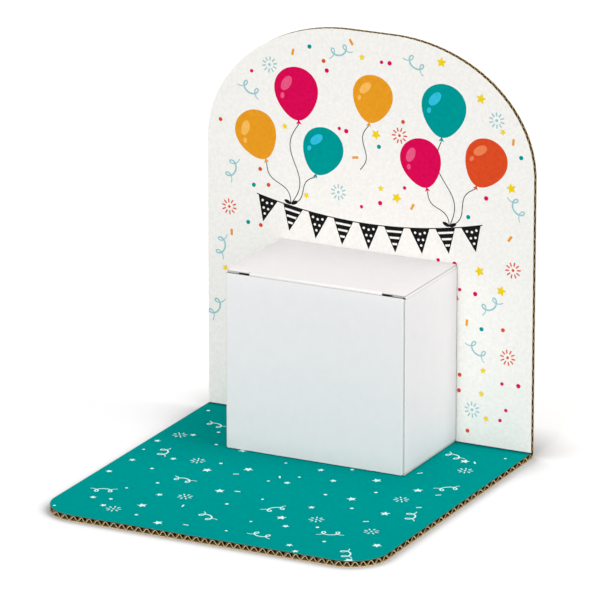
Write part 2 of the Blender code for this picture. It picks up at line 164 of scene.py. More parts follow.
def cut_sheet(outline, thickness, soft, rows=(), columns=(), prints=(), butt=None):
    """A flat sheet as (points, faces, cover), cut to an outline that runs anticlockwise.

    Outline, printed motifs and bending lines go through one constrained Delaunay triangulation, so
    each triangle lies in one motif or in none. The triangles lie twice, at the sheet's two faces.
    Between them runs the cut edge: a profile with two quarter rounds of radius soft, carried round
    the outline along its mitred normals. Points are (along, past, height). cover is 0 for the bare
    face at full height, 1 and up for the prints' inks, -1 for the edge and -2 for the other face.
    Where past is butt the sheet goes on in another piece: its edge there is square and counts as 0.
    """
    polygons = [outline] + [polygon * MM for ink, polygon in prints]
    inks = np.array([0] + [ink for ink, polygon in prints])
    ends = np.cumsum([len(polygon) for polygon in polygons])
    corners = [np.vstack(polygons)]
    low = outline.min(axis=0) - MM
    high = outline.max(axis=0) + MM
    corners += [np.array([[low[0], row], [high[0], row]]) for row in rows]
    corners += [np.array([[column, low[1]], [column, high[1]]]) for column in columns]
    count = ends[-1]
    lines = [(count + 2 * i, count + 2 * i + 1) for i in range(len(corners) - 1)]
    rings = [list(range(end - len(polygon), end)) for polygon, end in zip(polygons, ends)]
    found = delaunay_2d_cdt([Vector(p) for p in np.vstack(corners) / MM], lines, rings, 1, SAME_POINT)
    inside = [0 in over for over in found[5]]
    triangles = np.array([face for face, keep in zip(found[2], inside) if keep])
    cover = inks[[max(over) for over, keep in zip(found[5], inside) if keep]]
    used, triangles = np.unique(triangles, return_inverse=True)
    triangles = triangles.reshape(-1, 3)
    flat = np.array(found[0])[used] * MM
    count = len(flat)

    sides = triangles[:, [0, 1, 1, 2, 2, 0]].reshape(-1, 2)
    code = sides[:, 0] * count + sides[:, 1]
    sides = sides[~np.isin(code, sides[:, 1] * count + sides[:, 0])]
    step = flat[sides[:, 1]] - flat[sides[:, 0]]
    square = np.column_stack([step[:, 1], -step[:, 0]]) / np.linalg.norm(step, axis=1)[:, None]
    leaving = np.zeros((count, 2))
    leaving[sides[:, 0]] = square
    arriving = np.zeros((count, 2))
    arriving[sides[:, 1]] = square
    mitre = (leaving + arriving) / (1 + (leaving * arriving).sum(axis=1))[:, None]

    quarter = np.linspace(0.0, math.pi / 2, EDGE_STEPS + 1)
    offsets = np.concatenate([np.sin(quarter) - 1, (np.sin(quarter) - 1)[::-1]]) * soft
    joins = np.zeros(count, bool) if butt is None else np.abs(flat[:, 1] - butt) < soft / 10
    mitre[joins] = 0.0
    drops = (1 - np.cos(quarter)) * soft
    heights = np.concatenate([thickness - drops, drops[::-1]])
    layers = [np.column_stack([flat + mitre * offset, np.full(count, height)])
              for offset, height in zip(offsets, heights)]
    rim = np.unique(sides)
    points = np.vstack([layers[0], layers[-1]] + [layer[rim] for layer in layers[1:-1]])
    index = np.zeros((len(layers), count), int)
    index[0] = np.arange(count)
    index[-1] = count + np.arange(count)
    index[1:-1, rim] = 2 * count + np.arange((len(layers) - 2) * len(rim)).reshape(-1, len(rim))
    start = index[:, sides[:, 0]]
    end = index[:, sides[:, 1]]
    quads = np.stack([start[1:], end[1:], end[:-1], start[:-1]], axis=-1).reshape(-1, 4)
    faces = triangles.tolist() + (triangles[:, ::-1] + count).tolist() + quads.tolist()
    rim_cover = np.where(joins[sides].all(axis=1), 0, -1)
    cover = np.concatenate([cover, np.full(len(triangles), -2), np.tile(rim_cover, len(layers) - 1)])
    return points, faces, cover


def piece(name, points, faces, finish, finishes, soft_angle=0.0):
    """Makes one object of points and faces, its faces turned outward by the sign of its volume.

    finish is each face's place in finishes, counted from their end where it is negative. Under
    soft_angle, in degrees, neighbouring faces shade as one smooth surface.
    """
    corner = np.array([face[:3] for face in faces])
    a, b, c = (points[corner[:, i]] for i in range(3))
    d = points[[face[-1] for face in faces]]
    volume = (np.cross(a, b) * c).sum() + (np.cross(a, c) * d).sum()
    if volume < 0:
        faces = [face[::-1] for face in faces]
    mesh = bpy.data.meshes.new(name)
    mesh.from_pydata(points.tolist(), [], faces)
    for material in finishes:
        mesh.materials.append(material)
    mesh.polygons.foreach_set("material_index", np.asarray(finish, np.int32) % len(finishes))
    if soft_angle:
        mesh.shade_smooth()
        mesh.set_sharp_from_angle(angle=math.radians(soft_angle))
    mesh.update()
    made = bpy.data.objects.new(name, mesh)
    scene.collection.objects.link(made)
    return made


def arc(centre, radii, start, end, steps):
    """Points round part of an ellipse: centre plus radii times (cosine, sine), both ends included."""
    angles = np.linspace(start, end, steps + 1)
    return np.array(centre) + np.array(radii) * np.column_stack([np.cos(angles), np.sin(angles)])


def joined(*parts):
    """Point arrays joined end to end."""
    return np.vstack([np.asarray(part, float).reshape(-1, 2) for part in parts])


def mirrored(points):
    """The points mirrored in the first coordinate, in reverse order."""
    return (points * (-1, 1))[::-1]


def base_outline(start):
    """The base's cut line, from start past the fold to its front edge with two round corners."""
    centre = (HALF_WIDTH - BASE_CORNER_RADIUS, BASE_LENGTH - BASE_CORNER_RADIUS)
    corner = arc(centre, (BASE_CORNER_RADIUS, BASE_CORNER_RADIUS), 0.0, math.pi / 2, 40)
    return joined((-HALF_WIDTH, start), (HALF_WIDTH, start), corner, mirrored(corner))


def placed(polygons, at, turn=0.0, size=1.0):
    """Motif polygons, drawn in mm about their own middle, sized, turned and put at a place in mm."""
    c, s = math.cos(math.radians(turn)), math.sin(math.radians(turn))
    return [np.asarray(polygon) * size @ np.array([[c, s], [-s, c]]) + at for polygon in polygons]


def normals(line):
    """At each point of a line, the unit vector square to it on its left."""
    run = np.gradient(line, axis=0)
    return np.column_stack([-run[:, 1], run[:, 0]]) / np.linalg.norm(run, axis=1)[:, None]


def ribbon(line, widths):
    """A drawn line as a chain of four-sided polygons: the line moved by half its width to each side.

    Each polygon's corners are sorted by their angle about its middle, so that it runs anticlockwise.
    """
    half = normals(line) * np.broadcast_to(widths, len(line))[:, None] / 2
    left = line + half
    right = line - half
    corners = np.stack([left[:-1], right[:-1], right[1:], left[1:]], axis=1)
    spokes = corners - corners.mean(axis=1, keepdims=True)
    order = np.argsort(np.arctan2(spokes[..., 1], spokes[..., 0]), axis=1)
    return list(np.take_along_axis(corners, order[..., None], axis=1))


def oval(radii, steps, centre=(0, 0)):
    """A whole ellipse as one polygon."""
    return arc(centre, radii, 0.0, 2 * math.pi * (1 - 1 / steps), steps - 1)


def disc(radius, steps=16):
    """A round dot."""
    return [oval((radius, radius), steps)]


def dash(length, width):
    """A short bar."""
    x, y = length / 2, width / 2
    return [np.array([[-x, -y], [x, -y], [x, y], [-x, y]])]


def star(radius, waist=0.45):
    """A five-pointed star: at equal angles, points at the radius and at waist times the radius."""
    spoke = np.arange(10)
    angles = spoke * math.pi / 5 + math.pi / 2
    reach = np.where(spoke % 2 == 0, radius, radius * waist)
    return [np.column_stack([np.cos(angles), np.sin(angles)]) * reach[:, None]]


def burst(radius, rays, width, core):
    """A little firework: rays that run from 0.5 to 1 of the radius round a dot."""
    polygons = disc(core, 10)
    for ray in range(rays):
        angle = 2 * math.pi * (ray + 0.3) / rays
        line = np.linspace(0.5, 1.0, 4)[:, None] * radius * np.array([math.cos(angle), math.sin(angle)])
        polygons += ribbon(line, width)
    return polygons


def curl(length, loop, turns, width):
    """A paper streamer seen from the side: a point that moves on while it circles (a trochoid)."""
    t = np.linspace(0.0, 1.0, 14 * turns + 8)
    angle = 2 * math.pi * turns * t
    line = np.column_stack([length * (t - 0.5) + loop * np.sin(angle), loop * (1 - np.cos(angle))])
    swell = width * (0.55 + 0.45 * np.sin(math.pi * t))
    return ribbon(line, swell)


def scatter(seed, spacing, low, high, taken, margin):
    """Places for small motifs: one in each cell of a grid, moved by chance inside its cell.

    A place is dropped where it comes within a taken circle's radius plus the margin. All in mm.
    """
    rng = np.random.default_rng(seed)
    x, y = np.meshgrid(np.arange(low[0], high[0], spacing), np.arange(low[1], high[1], spacing))
    spots = np.column_stack([x.ravel(), y.ravel()]) + rng.uniform(0.1, 0.9, (x.size, 2)) * spacing
    taken = np.asarray(taken, float)
    apart = np.linalg.norm(spots[:, None] - taken[None, :, :2], axis=2) - taken[None, :, 2]
    return spots[apart.min(axis=1) > margin], rng


# Offset ink on uncoated paper: the sheet's clouds show through, fully matte. Along the fold it
# carries a painted shade
teal_ink = paper("teal_offset_ink_on_kraft_liner", "#008A86", "#00918D", 1.6, 0.30, 0.9, 0.010,
                 flutes=0.5, specular=0.0, fold_shade_width=3.5)
# Motifs left bare: light that spreads sideways in the paper picks up some of the ink round them
bare_motif = paper("bare_liner_between_teal_ink", "#CFEFED", "#DCFAF8", 1.5, 0.30, 0.9, 0.012, flutes=0.5)
# The cut edge, darkened where the ink has soaked into it
inked_edge = paper("cut_edge_of_printed_liner", "#33574C", "#5E7263", 0.8, 0.15, 0.95, 0.02)
# The side that is glued to the flutes: brown kraft
liner_inside = paper("unbleached_kraft_liner", "#86704E", "#A48C66", 2.0, 0.35, 0.95, 0.02)

# The layout is this part's own: streamers (x and y in mm, turn in degrees) and bursts listed,
# then small stars, dots and dashes, clear of the circles in taken (x, y and radius)
BASE_CURLS = ((-58, 24, 20), (-60, 66, 75), (-38, 92, 10), (-62, 118, -20), (-8, 128, 35), (20, 141, 190),
              (10, 108, -50), (45, 127, 160), (66, 92, 70), (62, 54, -40), (49, 16, 30), (62, 143, 60))
BASE_BURSTS = ((-44, 10), (-66, 44), (-44, 70), (-28, 112), (-47, 138), (32, 113), (58, 116), (52, 76),
               (60, 32))
motifs = []
taken = []
for x, y, turn in BASE_CURLS:
    motifs += placed(curl(11.3, 1.9, 2, 0.62), (x, y), turn)
    taken.append((x, y, 5.5))
for x, y in BASE_BURSTS:
    motifs += placed(burst(3.2, 8, 0.5, 0.5), (x, y), 13 * x)
    taken.append((x, y, 3.6))
spots, rng = scatter(11, 14.5, (-73, 3), (73, 150), taken, 1.8)
for number, spot in enumerate(spots):
    turn = rng.uniform(0, 360)
    shape = (disc(0.75), star(2.2), dash(2.4, 0.7), disc(0.6, 12), star(1.6))[number % 5]
    motifs += placed(shape, spot, turn)

points, faces, cover = cut_sheet(base_outline(FOLD_GAP / 2), LINER, LINER_EDGE_RADIUS,
                                 prints=[(1, motif) for motif in motifs], butt=FOLD_GAP / 2)
points = np.column_stack([points[:, 0], FOLD_Y - points[:, 1], BOARD - LINER + points[:, 2]])

# The crushed pleat: a strip along the fold, down the mitre on the base's side, round a half circle
# and up the panel's side. It closes the groove that opens when the panel is laid flat
PLEAT_START = 0.0002
PLEAT_DEPTH = 0.0019
PLEAT_THICKNESS = 0.00009
PLEAT_RADIUS = 0.00009
PLEAT_STEPS = 12


def strip(line, thickness, low, high):
    """A closed strip of paper: a centre line in the Y-Z plane given its thickness, carried along X."""
    side = normals(line) * thickness / 2
    section = np.vstack([line + side, (line - side)[::-1]])
    count = len(section)
    ring = np.vstack([np.column_stack([np.full(count, x), section]) for x in (low, high)])
    here = np.arange(count)
    after = (here + 1) % count
    walls = np.column_stack([here, after, after + count, here + count]).tolist()
    half = np.arange(len(line) - 1)
    cap = np.column_stack([half, count - 1 - half, count - 2 - half, half + 1])
    return ring, walls + cap.tolist() + (cap[:, ::-1] + count).tolist()


down = np.linspace(PLEAT_START, PLEAT_DEPTH, PLEAT_STEPS)
left_side = np.full(PLEAT_STEPS, -PLEAT_RADIUS)
round_angles = np.linspace(0.0, math.pi, PLEAT_STEPS + 1)[1:-1]
across = np.concatenate([left_side, -PLEAT_RADIUS * np.cos(round_angles), -left_side])
along = np.concatenate([down, PLEAT_DEPTH + PLEAT_RADIUS * np.sin(round_angles), down[::-1]])
diagonal = math.sqrt(0.5)
pleat_line = np.column_stack([FOLD_Y + (across + along) * diagonal, BOARD + (across - along) * diagonal])
pleat, pleat_faces = strip(pleat_line, PLEAT_THICKNESS, -HALF_WIDTH, HALF_WIDTH)
faces = faces + [[corner + len(points) for corner in face] for face in pleat_faces]
points = np.vstack([points, pleat])
cover = np.concatenate([cover, np.zeros(len(pleat_faces), int)])
base_liner = piece("base_printed_liner", points, faces, cover,
                   (teal_ink, bare_motif, liner_inside, inked_edge))
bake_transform(base_liner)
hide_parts("base_face_liner")

# The panel's printed paper
# The same liner above the fold, left white as a ground and printed with balloons, streamers and
# confetti in flat spot colours. A bunting garland hangs where the panel carries its greeting.

PANEL_LENGTH = PANEL_HIGH.z - BOARD
ARCH_FLAT_WIDTH = 0.020
ARCH_RISE = 0.054


def panel_outline(start):
    """The panel's cut line: straight sides, then a quarter ellipse to each side of a short flat crown."""
    crown = ARCH_FLAT_WIDTH / 2
    corner = arc((crown, PANEL_LENGTH - ARCH_RISE), (HALF_WIDTH - crown, ARCH_RISE), 0.0, math.pi / 2, 72)
    return joined((-HALF_WIDTH, start), (HALF_WIDTH, start), corner, mirrored(corner))


def balloon():
    """An egg 20 mm wide and 23 mm tall: a circle whose width tapers towards the bottom."""
    angle = np.linspace(0, 2 * math.pi, 64, endpoint=False)
    height = np.sin(angle)
    width = np.cos(angle) * (1 + 0.19 * height - 0.06 * height**2)
    return [np.column_stack([10.0 * width, 11.5 * height])]


def knot():
    """The tied neck under a balloon: a small triangle with a hollowed foot."""
    return [np.array([[0, -11.0], [-1.3, -13.2], [-0.4, -12.9], [0.4, -12.9], [1.3, -13.2]])]


def glints():
    """Two ovals of light on a balloon's upper left."""
    tall, small = oval((2.0, 3.6), 24), oval((0.9, 1.3), 16)
    return placed([tall], (-4.3, 4.4), -38) + placed([small], (-6.6, -0.9), -12)


# The white ground, its cream cut edge, and the side that is glued to the flutes: that side is a
# darker copy of the base's, with painted shade for the shadowed flute cells
bare_white = paper("white_top_kraft_liner", "#DFDDD9", "#EAE8E4", 1.5, 0.30, 0.9, 0.012, flutes=0.5)
liner_edge = paper("cut_edge_of_white_top_liner", "#D6CBB4", "#ECE4D3", 0.8, 0.15, 0.95, 0.02)
panel_inside_painted_shade = paper("kraft_liner_with_painted_shade", "#3E2F1D", "#58452C", 2.0, 0.35, 0.95, 0.02)
INKS = {
    "orange": ("#D48B1A", "#DE9626"), "orange_light": ("#E4A74A", "#EAB35C"),
    "magenta": ("#C30748", "#D10D51"), "magenta_light": ("#D54974", "#DC5A80"),
    "vermilion": ("#C9401D", "#D24C26"), "vermilion_light": ("#D97046", "#E27E54"),
    "teal": ("#008685", "#00928F"), "teal_light": ("#26A9C8", "#34B8D6"),
    "yellow": ("#DCBC0A", "#E6CA1A"), "pale_blue": ("#84B2B8", "#95C0C4"), "black": ("#131313", "#1E1E1E"),
}
ink_names = list(INKS)
# Flat spot inks, each with the same paper clouds and relief showing through
ink_materials = [paper("spot_ink_" + name, *INKS[name], 1.5, 0.30, 0.9, 0.010, flutes=0.5, specular=0.0)
                 for name in ink_names]
panel_prints = []


def draw(ink, polygons, at=(0.0, 0.0), turn=0.0, size=1.0):
    """Adds a motif to the panel's print in one ink, or left bare where ink is None."""
    number = ink_names.index(ink) + 1 if ink else 0
    panel_prints.extend((number, polygon) for polygon in placed(polygons, at, turn, size))


# Two bunches of three balloons and one flying free: x, y, lean in degrees, size, ink and where its
# string ends. The string runs there from the knot in a shallow S
LEFT_TIE = (-36.0, 93.0)
RIGHT_TIE = (37.0, 93.0)
BALLOONS = (
    (-52.0, 121.0, 22, 0.94, "orange", LEFT_TIE), (-33.5, 141.0, 5, 1.0, "magenta", LEFT_TIE),
    (-21.5, 117.5, -16, 0.92, "teal", LEFT_TIE), (24.0, 118.5, 14, 0.92, "magenta", RIGHT_TIE),
    (34.0, 142.0, -4, 1.0, "teal", RIGHT_TIE), (53.0, 122.0, -21, 0.94, "vermilion", RIGHT_TIE),
    (1.5, 143.0, -8, 0.9, "orange", (-4.0, 112.0)),
)
KNOT_FOOT = 13.0
STRING_SWING = 0.09
for x, y, turn, size, ink, tie in BALLOONS:
    lean = math.radians(turn)
    neck = np.array([x, y]) + KNOT_FOOT * size * np.array([math.sin(lean), -math.cos(lean)])
    share = np.linspace(0.0, 1.0, 26)[:, None]
    drop = np.array(tie) - neck
    swing = np.sin(2 * math.pi * share) * np.array([drop[1], -drop[0]]) * STRING_SWING
    draw("black", ribbon(neck + drop * share + swing, 0.38))
for x, y, turn, size, ink, tie in BALLOONS:
    draw(ink, balloon() + knot(), (x, y), turn, size)
    draw(ink + "_light", glints(), (x, y), turn, size)
for tie in (LEFT_TIE, RIGHT_TIE):
    for turn in (25, 155):
        draw("black", [oval((1.7, 0.8), 16, (1.7, 0))], tie, turn)

# The garland between the bunches, with pennants hung square to its cord. They are striped and
# spotted by turns
GARLAND_HALF = 52.0
GARLAND_TOP = 95.5
GARLAND_SAG = 6.5


def cord_height(share):
    """Height of the sagging cord: a parabola of the share of the way out from its middle."""
    return GARLAND_TOP - GARLAND_SAG * (1 - share**2)


share = np.linspace(-1.0, 1.0, 60)
draw("black", ribbon(np.column_stack([share * GARLAND_HALF, cord_height(share)]), 0.45))
for number in range(9):
    share = (number - 4) / 4.45
    place = (share * GARLAND_HALF, cord_height(share))
    turn = math.degrees(math.atan2(2 * GARLAND_SAG * share, GARLAND_HALF))
    draw("black", [np.array([[-4.6, 0.0], [0.0, -11.0], [4.6, 0.0]])], place, turn)
    if number % 2:
        for height, half in ((-1.5, 3.3), (-4.2, 2.1), (-6.9, 1.0)):
            low, top = height - 0.9, half * 1.14
            draw(None, [np.array([[-half, low], [half, low], [top, height], [-top, height]])], place, turn)
    else:
        for spot in ((-2.2, -1.9), (2.2, -1.9), (0.0, -2.4), (-1.0, -4.9), (1.1, -4.9), (0.0, -7.3)):
            draw(None, placed(disc(0.55, 12), spot), place, turn)

# Streamers and bursts round the garland and beside the carton, then dots, stars and dashes between
PANEL_CURLS = ((-13, 160, 20), (20, 159, -35), (-62, 104, 70), (66, 104, -60), (-67, 70, 80),
               (57, 60, 35), (49, 40, -40), (-70, 42, 60), (-56, 139, -30))
PANEL_BURSTS = ((-46, 152, "pale_blue"), (14, 129, "vermilion"), (58, 141, "pale_blue"),
                (-65, 88, "vermilion"), (66, 78, "vermilion"), (48, 15, "pale_blue"),
                (-14, 101, "pale_blue"), (64, 40, "vermilion"))
for x, y, turn in PANEL_CURLS:
    draw("pale_blue", curl(11.6, 1.9, 2, 0.75), (x, y), turn)
for x, y, ink in PANEL_BURSTS:
    draw(ink, burst(3.5, 10, 0.6, 0.65), (x, y), 7 * x)
taken = [(x, y, 13.5 * size) for x, y, turn, size, ink, tie in BALLOONS]
taken += [(x, cord_height(x / GARLAND_HALF) - 4.5, 7.5) for x in np.linspace(-50, 50, 13)]
taken += [(-36, 102, 7), (37, 102, 7), (-36, 110, 5), (37, 110, 5), (-1, 120, 4)]
taken += [(x, y, 5) for x, y, turn in PANEL_CURLS] + [(x, y, 4) for x, y, ink in PANEL_BURSTS]
spots, rng = scatter(5, 10.0, (-72, 4), (72, 166), taken, 1.0)
# How far out a place lies in the arch, whose edge is at 1
crown, springing = ARCH_FLAT_WIDTH / 2, PANEL_LENGTH - ARCH_RISE
dome = np.hypot(np.maximum(np.abs(spots[:, 0]) * MM - crown, 0) / (HALF_WIDTH - crown),
                np.maximum(spots[:, 1] * MM - springing, 0) / ARCH_RISE)
for number, spot in enumerate(spots[dome < 0.93]):
    turn = rng.uniform(0, 360)
    ink, shape = (("magenta", disc(1.0)), ("yellow", star(2.4, 0.5)), ("orange", dash(2.8, 1.1)),
                  ("teal", disc(0.95)), ("vermilion", disc(0.9)), ("yellow", star(1.5, 0.5)),
                  ("magenta", disc(0.8)))[number % 7]
    draw(ink, shape, spot, turn)

points, faces, cover = cut_sheet(panel_outline(FOLD_GAP / 2), LINER, LINER_EDGE_RADIUS, prints=panel_prints,
                                 butt=FOLD_GAP / 2)
points = np.column_stack([points[:, 0], FOLD_Y + LINER - points[:, 2], BOARD + points[:, 1]])
panel_liner = piece("panel_printed_liner", points, faces, cover,
                    (bare_white, *ink_materials, panel_inside_painted_shade, liner_edge))
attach(panel_liner, "back_panel")
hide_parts("panel_face_liner")

# The fluted medium
# Thin brown recycled paper, steamed and pressed into waves between two rollers, then glued to a
# liner at each crest. Its waves run on a slant, out to the right from the fold on both parts as in
# the photograph, and are cut off square at the edges.

GLUE_LINE = 0.00005
MEDIUM = 0.00026
FLUTE_HEIGHT = BOARD - 2 * (LINER + GLUE_LINE)
FLUTE_STEPS = 20
# Largest drift of the wave's phase, in radians
FLUTE_DRIFT = 0.42
# Coarse brown pulp, rough to the eye; in the panel a darker copy with painted shade, like the liners'
# insides there
kraft_medium = paper("recycled_fluting_paper", "#8C7250", "#AE936B", 1.2, 0.22, 0.95, 0.03)
panel_medium_painted_shade = paper("fluting_paper_with_painted_shade", "#2C2014", "#46351F", 1.2, 0.22, 0.95, 0.03)
# Its cut edge: torn pale fibres
medium_edge = paper("cut_edge_of_fluting_paper", "#B0946A", "#CEB68C", 0.6, 0.15, 0.95, 0.02)


def fluting(name, outline, place, seed, face):
    """The waved sheet between the liners, cut to the outline and to the mitre at the fold.

    Across the flutes the height is a sine of the distance, read at equal steps; a slow seeded drift
    of the phase makes each flute a little different. Every step is one straight line along the
    flutes. Its two ends are where it meets the outline: the nearest crossing of the half-planes
    behind the outline's edges, and of one more for the mitre at that line's own depth.
    """
    reach = np.hypot(*np.abs(outline).max(axis=0)) + BOARD
    steps = int(2 * reach / FLUTE_PITCH) * FLUTE_STEPS
    across = np.linspace(-reach, reach, steps)
    rng = np.random.default_rng(seed)
    knots = np.arange(-reach, reach + FLUTE_PITCH, FLUTE_PITCH / 2)
    drift = np.interp(across, knots, rng.uniform(-FLUTE_DRIFT, FLUTE_DRIFT, len(knots)))
    phase = 2 * math.pi * across / FLUTE_PITCH + drift
    wave = np.column_stack([across, np.sin(phase) * (FLUTE_HEIGHT - MEDIUM) / 2])
    square = normals(wave)
    direction = np.array([math.cos(FLUTE_ANGLE), math.sin(FLUTE_ANGLE)])
    cross = np.array([math.sin(FLUTE_ANGLE), -math.cos(FLUTE_ANGLE)])
    edge = np.roll(outline, -1, axis=0) - outline
    outward = np.column_stack([edge[:, 1], -edge[:, 0]])
    limit = (outward * outline).sum(axis=1)
    bend = BOARD - LINER - GLUE_LINE / 2
    ends, starts, depths = [], [], []
    for side in (1, -1):
        line = wave + side * square * MEDIUM / 2
        depth = BOARD / 2 - line[:, 1]
        fold = np.maximum(FOLD_GAP * diagonal - depth, -np.sqrt(np.maximum(bend**2 - depth**2, 0.0)))
        origin = line[:, :1] * cross
        speed = np.append(outward @ direction, -direction[1])
        room = np.column_stack([limit - origin @ outward.T, origin[:, 1] - fold])
        ends.append(np.where(speed > 0, room / speed, np.inf).min(axis=1))
        starts.append(np.where(speed < 0, room / speed, -np.inf).max(axis=1))
        depths.append((origin, depth))
    whole = (ends[0] > starts[0]) & (ends[1] > starts[1])
    corners = []
    for (origin, depth), first, last in zip(depths, starts, ends):
        for travel in (first, last):
            flat = origin + travel[:, None] * direction
            corners.append(place(flat[whole, 0], flat[whole, 1], depth[whole]))
    rows = whole.sum()
    points = np.vstack(corners)
    ring = np.array([0, 1, 3, 2]) * rows
    here = np.arange(rows - 1)[:, None] + ring
    beside = np.roll(here, -1, axis=1)
    walls = np.stack([here, beside, beside + 1, here + 1], axis=-1).reshape(-1, 4).tolist()
    faces = walls + [ring[::-1].tolist(), (ring + rows - 1).tolist()]
    finish = np.append(np.tile([0, 1, 0, 1], rows - 1), [0, 0])
    return piece(name, points, faces, finish, (face, medium_edge), 40.0)


def on_base(along, distance, depth):
    """A point of the flat blank on the base: distance forward of the fold, depth below the print."""
    return np.column_stack([along, FOLD_Y - distance, BOARD - depth])


def on_panel(along, distance, depth):
    """A point of the flat blank on the panel: distance above the fold, depth behind the print."""
    return np.column_stack([along, FOLD_Y + depth, BOARD + distance])


for name, outline, place, body, seed, face in (
        ("base", base_outline(-BOARD), on_base, "stand", 2, kraft_medium),
        ("panel", panel_outline(-BOARD), on_panel, "back_panel", 4, panel_medium_painted_shade)):
    medium = fluting(name + "_fluted_medium", outline, place, seed, face)
    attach(medium, body)
    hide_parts(name + "_fluting")

# The back liner
# Unbleached kraft paper glued to the other side of the flutes, from wood pulp with long brown
# fibres. It goes round the outside of the fold in one piece.

BACK_STEPS = 10
# Points this far from a bend keep its soft shading off the flat
FLAT_MARGIN = 0.0006
SOFT_ANGLE = 25.0


def wrap(past, height, inner_radius, turn, thickness):
    """A flat sheet bent round a crease: flat for past above zero, then an arc, then straight on.

    Returns the distance on from the arc's centre and the height over it. The arc's length is taken
    along the sheet's middle; height is over the sheet's inner face.
    """
    radius = inner_radius + height
    arc_length = (inner_radius + thickness / 2) * turn
    angle = np.clip(-past / arc_length, 0.0, 1.0) * turn
    straight = np.maximum(-past - arc_length, 0.0)
    on = np.maximum(past, 0.0) - radius * np.sin(angle) - straight * np.cos(angle)
    return on, radius * np.cos(angle) - straight * np.sin(angle)


# The outer face: long fibres and specks; the cut edge is a little lighter
kraft_face = paper("unbleached_kraft_back_liner", "#B3926A", "#C8AA82", 0.9, 0.25, 0.88, 0.02, flutes=0.6)
kraft_edge = paper("cut_edge_of_kraft_liner", "#B69C74", "#D0BA95", 0.7, 0.15, 0.95, 0.02)
inner = BOARD - LINER
middle = BOARD - LINER / 2
half_gap = FOLD_GAP / 2 / BOARD
for name, outline, place, body, turn, inside in (
        ("base", base_outline, on_base, "stand", math.pi / 4 + half_gap, liner_inside),
        ("panel", panel_outline, on_panel, "back_panel", math.pi / 4 - half_gap, panel_inside_painted_shade)):
    start = -middle * turn
    rows = np.append(np.linspace(0.0, start, BACK_STEPS + 1)[:-1], FLAT_MARGIN)
    points, faces, cover = cut_sheet(outline(start), LINER, LINER_EDGE_RADIUS, rows=rows, butt=start)
    on, depth = wrap(points[:, 1], points[:, 2], inner, turn, LINER)
    points = place(points[:, 0], on, depth)
    liner = piece(name + "_kraft_liner", points, faces, cover, (kraft_face, inside, kraft_edge),
                  SOFT_ANGLE)
    if name == "base":
        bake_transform(liner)
    else:
        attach(liner, body)
    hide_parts(name + "_back_liner")

# The carton's walls
# White folding boxboard, die-cut and creased, wrapped into four walls. The glue flap is stuck
# behind the right wall, whose raw front edge shows, with two nicks where the blank hung in its die.

WALL_LOW, WALL_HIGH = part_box("carton_sleeve")
LID_LOW, LID_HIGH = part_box("lid")
CARD = LID_HIGH.z - LID_LOW.z
CARD_EDGE_RADIUS = 0.00007
CARTON_SIDE = WALL_HIGH.x
CARTON_BACK = WALL_HIGH.y
CARTON_FRONT = WALL_LOW.y
CARTON_FLOOR = WALL_LOW.z
CARTON_TOP = LID_HIGH.z
CARD_GAP = 0.00015
FOLD_RADIUS = 0.0008
PRESSED_GAP = 0.00005
PRESSED_RADIUS = 0.0001
LID_SLOT = 0.0007
GLUE_FLAP = 0.012
GLUE_TAPER = 0.003
SEAM_SETBACK = 0.0001
CARD_STEPS = 12
CARD_MARGIN = 0.0004
PANEL_STRIPS = 8
WALL_BOW = 0.00018
# A nick is a blunt notch, with half its height at the mouth and at the bottom
NICK_HEIGHTS = (0.0327, 0.0615)
NICK_MOUTH = 0.0004
NICK_BOTTOM = 0.00025
NICK_DEPTH = 0.00028

# Clay-coated white outside, smooth and nearly even; inside the bare board is greyer and rougher.
# Its cut edge is grey
card_white = paper("clay_coated_white_boxboard", "#E0DDDE", "#E3E0E1", 5.0, 0.25, 0.62, 0.002,
                   specular=0.15)
card_inside = paper("uncoated_inside_of_boxboard", "#D3D2CC", "#DEDDD8", 2.4, 0.30, 0.85, 0.010)
card_edge = paper("cut_edge_of_boxboard", "#AEADA9", "#C6C5C1", 0.6, 0.12, 0.9, 0.015)
boxboard = (card_white, card_inside, card_edge)

side_low = CARD + 2 * PRESSED_GAP + PRESSED_RADIUS + CARD
side_high = 2 * CARD + 2 * CARD_GAP + FOLD_RADIUS - CARD
low_of = {"side": CARTON_FLOOR + side_low, "back": CARTON_FLOOR + CARD + PRESSED_GAP,
          "front": CARTON_FLOOR}
high_of = {"side": CARTON_TOP - side_high, "back": CARTON_TOP - CARD - CARD_GAP,
           "front": CARTON_TOP - CARD - LID_SLOT}
# The sheet's middle turns round each crease at this radius
neutral = FOLD_RADIUS - CARD / 2
right_fold = CARTON_SIDE - FOLD_RADIUS
rear_fold = CARTON_BACK - FOLD_RADIUS
front_fold = CARTON_FRONT + FOLD_RADIUS
seam_fold = right_fold - CARD - CARD_GAP
quarter_turn = math.pi / 2
stations = [(right_fold + neutral, CARTON_FRONT + SEAM_SETBACK, 0.0)]
for quarter, centre in enumerate(((right_fold, rear_fold), (-right_fold, rear_fold),
                                  (-right_fold, front_fold), (seam_fold, front_fold))):
    angles = (quarter + np.linspace(0.0, 1.0, CARD_STEPS + 1)) * quarter_turn
    turned = np.column_stack([np.cos(angles), np.sin(angles)])
    stations.append(np.column_stack([np.array(centre) + neutral * turned, angles]))
stations.append((seam_fold + neutral, CARTON_FRONT + GLUE_FLAP, quarter_turn * 4))
path = np.vstack(stations)
travel = np.concatenate([[0.0], np.cumsum(np.linalg.norm(np.diff(path[:, :2], axis=0), axis=1))])
firsts = 1 + np.arange(4) * (CARD_STEPS + 1)
lasts = firsts + CARD_STEPS
creases = travel[np.column_stack([firsts, lasts]).ravel()]
beside = ("side", "back", "back", "side", "side", "front", "front", "side")
top_edge = [(high_of[wall], crease) for wall, crease in zip(beside, creases)]
low_edge = [(low_of[wall], crease) for wall, crease in zip(beside, creases)]
